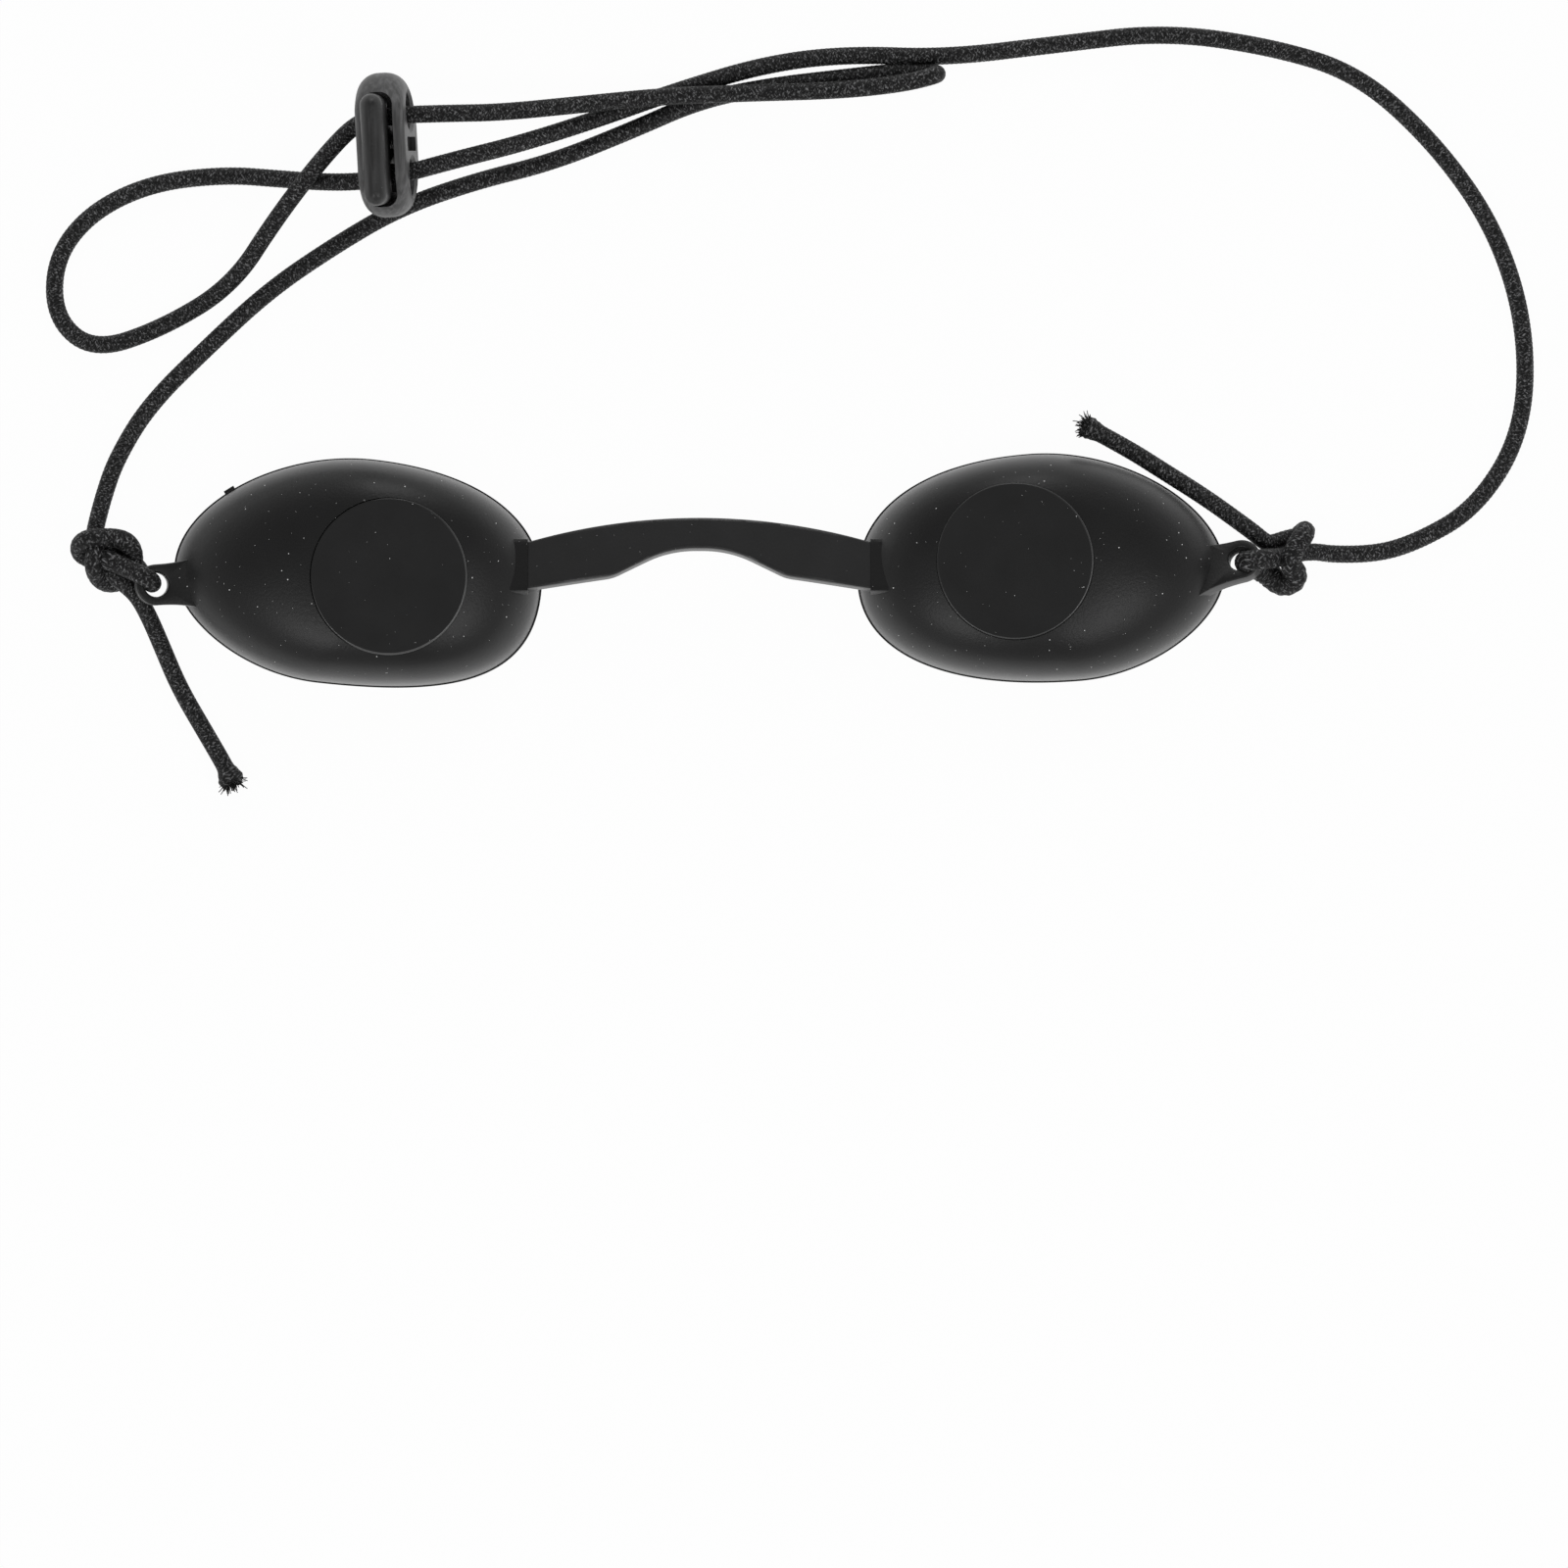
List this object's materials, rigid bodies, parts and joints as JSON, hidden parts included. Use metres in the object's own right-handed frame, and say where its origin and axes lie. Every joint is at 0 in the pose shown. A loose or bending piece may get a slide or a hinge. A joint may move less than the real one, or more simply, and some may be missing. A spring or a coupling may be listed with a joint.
{
  "type": "tanning goggles",
  "caption": "Black tanning goggles: deep oval eye cups with round dark windows on a flexible nose bridge, with an elastic head cord knotted at each cup and a spring cord lock.",
  "frame": {"origin": "on the plane of the cups' rims, under the middle of the cups and the bridge", "axes": "+X from the left cup to the right cup as seen from the front, +Y to the brow side, +Z away from the face"},
  "size_m": [0.2003, 0.1028, 0.019],
  "materials": {
    "eye_cup": "satin black moulded plastic",
    "window": "near-black dense filter plastic, satin gloss",
    "nose_bridge": "soft matt black flexible plastic",
    "cord_lock": "satin grey-black moulded plastic",
    "lock_spring": "plain drawn spring wire",
    "cord": "black braided elastic cord"
  },
  "bodies": {
    "left_side": {"left_eye_cup": "eye_cup", "left_window": "window", "nose_bridge": "nose_bridge", "lock_body": "cord_lock", "lock_spring": "lock_spring", "left_knot": "cord", "cord_left_tail": "cord", "cord_left_run": "cord", "cord_loop": "cord", "cord_right_run": "cord"},
    "right_side": {"right_eye_cup": "eye_cup", "right_window": "window", "right_knot": "cord", "cord_right_tail": "cord"},
    "button": {"lock_button": "cord_lock"}
  },
  "joints": [
    {"name": "bridge_flex", "type": "hinge", "parent": "left_side", "child": "right_side", "pos_m": [0, 0.0025, 0.0072], "axis": [0, 1, 0], "range_deg": [-25, 60], "stiffness_Nm_per_rad": 0.016, "deforming": ["nose_bridge"]},
    {"name": "button_press", "type": "slide", "parent": "left_side", "child": "button", "axis": [0.0872, 0.0695, -0.9938], "range_m": [0, 0.003], "stiffness_N_per_m": 600, "deforming": ["lock_spring"]}
  ]
}
